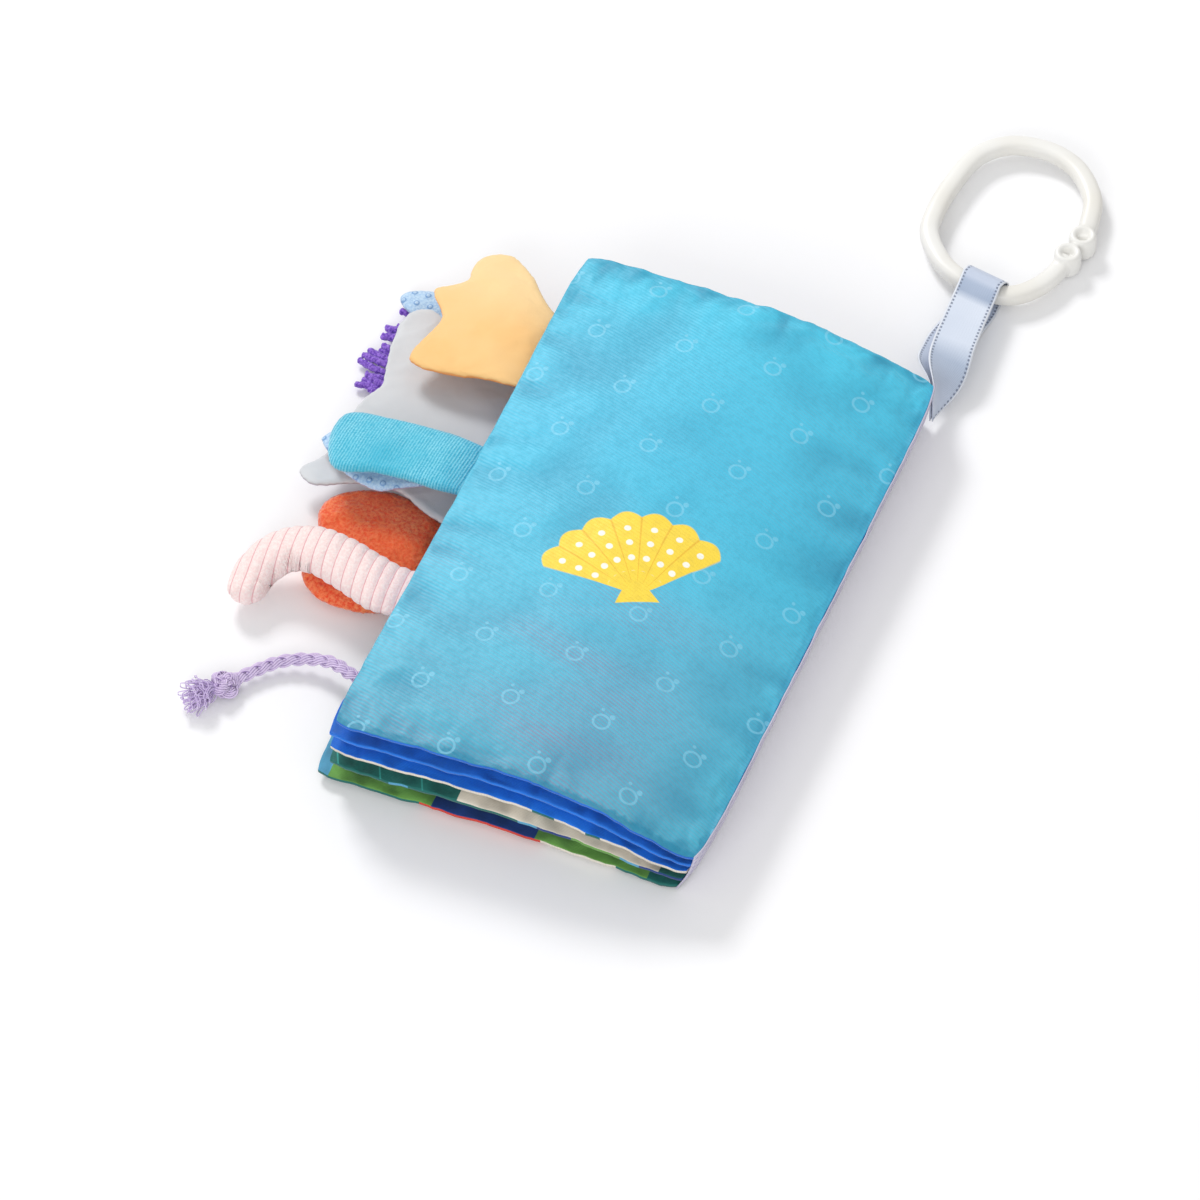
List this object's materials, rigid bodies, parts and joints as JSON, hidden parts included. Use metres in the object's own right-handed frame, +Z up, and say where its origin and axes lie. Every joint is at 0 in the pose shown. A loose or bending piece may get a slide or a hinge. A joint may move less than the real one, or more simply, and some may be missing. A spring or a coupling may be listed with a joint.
{
  "type": "crinkle cloth book",
  "caption": "Soft padded cloth book with crinkle leaves, fabric tails sewn along the fore edge and a plastic link ring on a ribbon",
  "frame": {"origin": "centre of the bottom cover's flat underside", "axes": "+X towards the spine, +Y along the book towards the end that carries the ribbon and ring, +Z up through the pages"},
  "size_m": [0.2163, 0.3476, 0.0377],
  "materials": {
    "turquoise_print": "turquoise printed satin cotton with a yellow and light-blue print",
    "cover_print": "printed satin cotton of the outer cover's underside, red to dark teal",
    "blue_print": "deep blue printed cotton",
    "dark_teal_print": "dark teal printed cotton with cream",
    "green_print": "green printed cotton with navy and light blue",
    "spine_print": "lilac-grey printed cotton strip",
    "wadding": "white polyester wadding",
    "film": "thin clear crinkle film",
    "orange_satin": "light orange satin with a darker edge",
    "teal_velour": "turquoise velour",
    "dotted_minky": "pale blue dimpled minky",
    "lilac_white_cloth": "white-lilac cloth with small specks",
    "grey_satin": "light grey satin",
    "red_plush": "orange-red plush",
    "pink_corduroy": "pale pink ribbed cloth",
    "purple_chenille": "purple chenille yarn",
    "lilac_braid": "lilac braided cotton cord",
    "ribbon_satin": "grey-blue satin ribbon with stitched edges",
    "white_plastic": "moulded white plastic, satin gloss"
  },
  "bodies": {
    "bottom_cover": {"bottom_cover_upper_cloth": "green_print", "bottom_cover_lower_cloth": "cover_print", "bottom_cover_wadding": "wadding", "bottom_cover_crinkle_film": "film", "spine_cloth": "spine_print", "red_tail_upper_cloth": "red_plush", "red_tail_lower_cloth": "red_plush", "red_tail_stuffing": "wadding", "fringe": "purple_chenille"},
    "leaf_3": {"leaf_3_upper_cloth": "dark_teal_print", "leaf_3_lower_cloth": "green_print", "leaf_3_wadding": "wadding", "leaf_3_crinkle_film": "film", "grey_tail_upper_cloth": "grey_satin", "grey_tail_lower_cloth": "lilac_white_cloth", "far_dotted_tail_upper_cloth": "dotted_minky", "far_dotted_tail_lower_cloth": "lilac_white_cloth", "cord": "lilac_braid", "cord_knot": "lilac_braid", "cord_tuft": "lilac_braid"},
    "leaf_2": {"leaf_2_upper_cloth": "blue_print", "leaf_2_lower_cloth": "dark_teal_print", "leaf_2_wadding": "wadding", "leaf_2_crinkle_film": "film", "near_dotted_tail_upper_cloth": "dotted_minky", "near_dotted_tail_lower_cloth": "lilac_white_cloth"},
    "leaf_1": {"leaf_1_upper_cloth": "blue_print", "leaf_1_lower_cloth": "blue_print", "leaf_1_wadding": "wadding", "leaf_1_crinkle_film": "film"},
    "top_cover": {"top_cover_upper_cloth": "turquoise_print", "top_cover_lower_cloth": "blue_print", "top_cover_wadding": "wadding", "top_cover_crinkle_film": "film"},
    "orange_tail": {"orange_tail_upper_cloth": "orange_satin", "orange_tail_lower_cloth": "orange_satin"},
    "teal_tail": {"teal_tail_upper_cloth": "teal_velour", "teal_tail_lower_cloth": "teal_velour", "teal_tail_stuffing": "wadding"},
    "pink_tail": {"pink_tail_cloth": "pink_corduroy", "pink_tail_stuffing": "wadding"},
    "ribbon": {"ribbon_loop": "ribbon_satin"},
    "ring": {"link_ring": "white_plastic"}
  },
  "joints": [
    {"name": "leaf_3_turn", "type": "hinge", "parent": "bottom_cover", "child": "leaf_3", "pos_m": [0.06825, 0, 0.00436], "axis": [0, 1, 0], "range_deg": [0, 150], "deforming": ["spine_cloth"]},
    {"name": "leaf_2_turn", "type": "hinge", "parent": "leaf_3", "child": "leaf_2", "pos_m": [0.06975, 0, 0.00872], "axis": [0, -1, 0], "range_deg": [-150, 0], "deforming": ["spine_cloth"]},
    {"name": "leaf_1_turn", "type": "hinge", "parent": "leaf_2", "child": "leaf_1", "pos_m": [0.07125, 0, 0.01308], "axis": [0, 1, 0], "range_deg": [0, 150], "deforming": ["spine_cloth"]},
    {"name": "top_cover_turn", "type": "hinge", "parent": "leaf_1", "child": "top_cover", "pos_m": [0.07275, 0, 0.01744], "axis": [0, -1, 0], "range_deg": [-150, 0], "deforming": ["spine_cloth"]},
    {"name": "orange_tail_lift", "type": "hinge", "parent": "leaf_1", "child": "orange_tail", "pos_m": [-0.06137, 0.079, 0.02637], "axis": [0, 1, 0], "range_deg": [0, 80]},
    {"name": "teal_tail_lift", "type": "hinge", "parent": "leaf_1", "child": "teal_tail", "pos_m": [-0.06067, 0.01221, 0.02637], "axis": [0, 1, 0], "range_deg": [0, 80]},
    {"name": "pink_tail_lift", "type": "hinge", "parent": "leaf_2", "child": "pink_tail", "pos_m": [-0.06083, -0.03949, 0.01968], "axis": [0, 1, 0], "range_deg": [0, 60]},
    {"name": "ribbon_swing", "type": "hinge", "parent": "bottom_cover", "child": "ribbon", "pos_m": [0.06923, 0.1103, 0.011], "axis": [0, 0, 1], "range_deg": [-85, 55]},
    {"name": "ring_tilt", "type": "hinge", "parent": "ribbon", "child": "ring", "pos_m": [0.06446, 0.16729, 0.0052], "axis": [0.9816, -0.1908, 0], "range_deg": [0, 90]}
  ]
}
